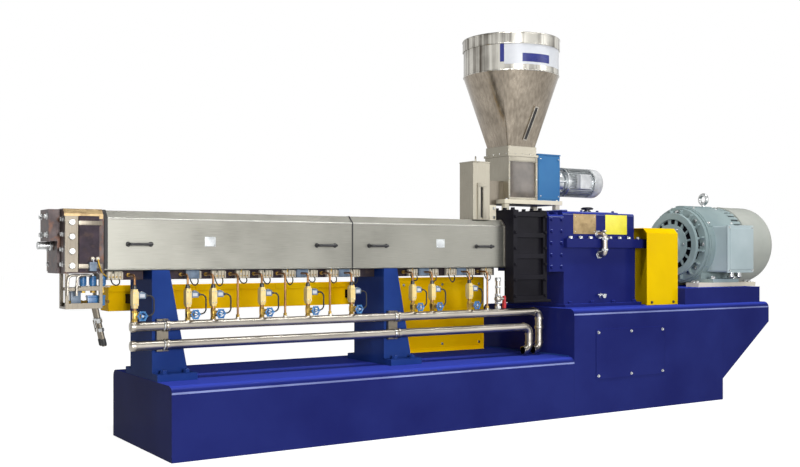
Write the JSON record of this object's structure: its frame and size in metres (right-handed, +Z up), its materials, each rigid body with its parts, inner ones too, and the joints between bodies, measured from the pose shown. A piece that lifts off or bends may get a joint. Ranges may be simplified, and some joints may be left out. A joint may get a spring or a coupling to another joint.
{
  "type": "plastic extruder",
  "caption": "Twin-screw plastic extruder: a bed carries a covered barrel with die, cooling pipes and valves, a gearbox with coupling guard, a drive motor and a feed hopper.",
  "frame": {"origin": "on the floor, under the middle of the bed's foot", "axes": "+X from the die to the drive motor, +Y from the operator's side to the back, +Z up"},
  "size_m": [5.335, 0.924, 2.4],
  "materials": {
    "blue_paint": "glossy paint",
    "stainless": "brushed",
    "dark_steel": "heat-darkened steel",
    "yellow_paint": "glossy paint",
    "black_paint": "satin paint",
    "motor_grey": "satin paint",
    "light_blue_paint": "glossy paint",
    "cast_aluminium": "cast",
    "black_plastic": "moulded",
    "cream_plastic": "moulded",
    "brass": "dull",
    "blue_plastic": "moulded",
    "red_plastic": "moulded"
  },
  "bodies": {
    "root": {"bed_low": "blue_paint", "bed_high": "blue_paint", "bed_overhang": "blue_paint", "access_panel": "blue_paint", "column_die_end": "blue_paint", "column_feed_end": "blue_paint", "distribution_box": "blue_paint", "gearbox_lower": "blue_paint", "gearbox_upper": "blue_paint", "motor_pedestal": "blue_paint", "cover_long": "stainless", "cover_short": "stainless", "upper_manifold": "stainless", "lower_manifold": "stainless", "hopper_neck": "stainless", "hopper_cone": "stainless", "hopper_top": "stainless", "side_box": "stainless", "discharge_spout": "stainless", "feeder_box": "stainless", "feeder_stand": "stainless", "manifold_clamps": "stainless", "die_clamp_bars": "stainless", "valve_rack": "stainless", "drain_spouts": "stainless", "oil_level_tube": "stainless", "cooling_tubes": "stainless", "cover_hangers": "stainless", "coupling": "stainless", "barrel": "dark_steel", "die_body": "dark_steel", "die_block": "dark_steel", "die_heater_panels": "dark_steel", "coupling_guard": "yellow_paint", "cable_duct": "yellow_paint", "cable_cabinet": "yellow_paint", "lantern_housing": "black_paint", "duct_brackets": "black_paint", "motor_frame": "motor_grey", "motor_drive_shield": "motor_grey", "motor_fan_cover": "motor_grey", "motor_terminal_box": "motor_grey", "motor_eyebolt": "motor_grey", "motor_rails": "motor_grey", "shaft_guard": "motor_grey", "feeder_drive_box": "light_blue_paint", "feeder_motor": "cast_aluminium", "barrel_heaters": "cast_aluminium", "service_rail": "cast_aluminium", "cover_handles": "black_plastic", "valve_leads": "black_plastic", "valve_blocks": "cream_plastic", "terminal_blocks": "cream_plastic", "chute_block": "cream_plastic", "valve_risers": "brass", "sample_valve": "brass", "valve_wheels": "blue_plastic", "valve_plugs": "blue_plastic", "rack_coils": "blue_plastic", "sample_lever": "red_plastic"}
  },
  "joints": []
}
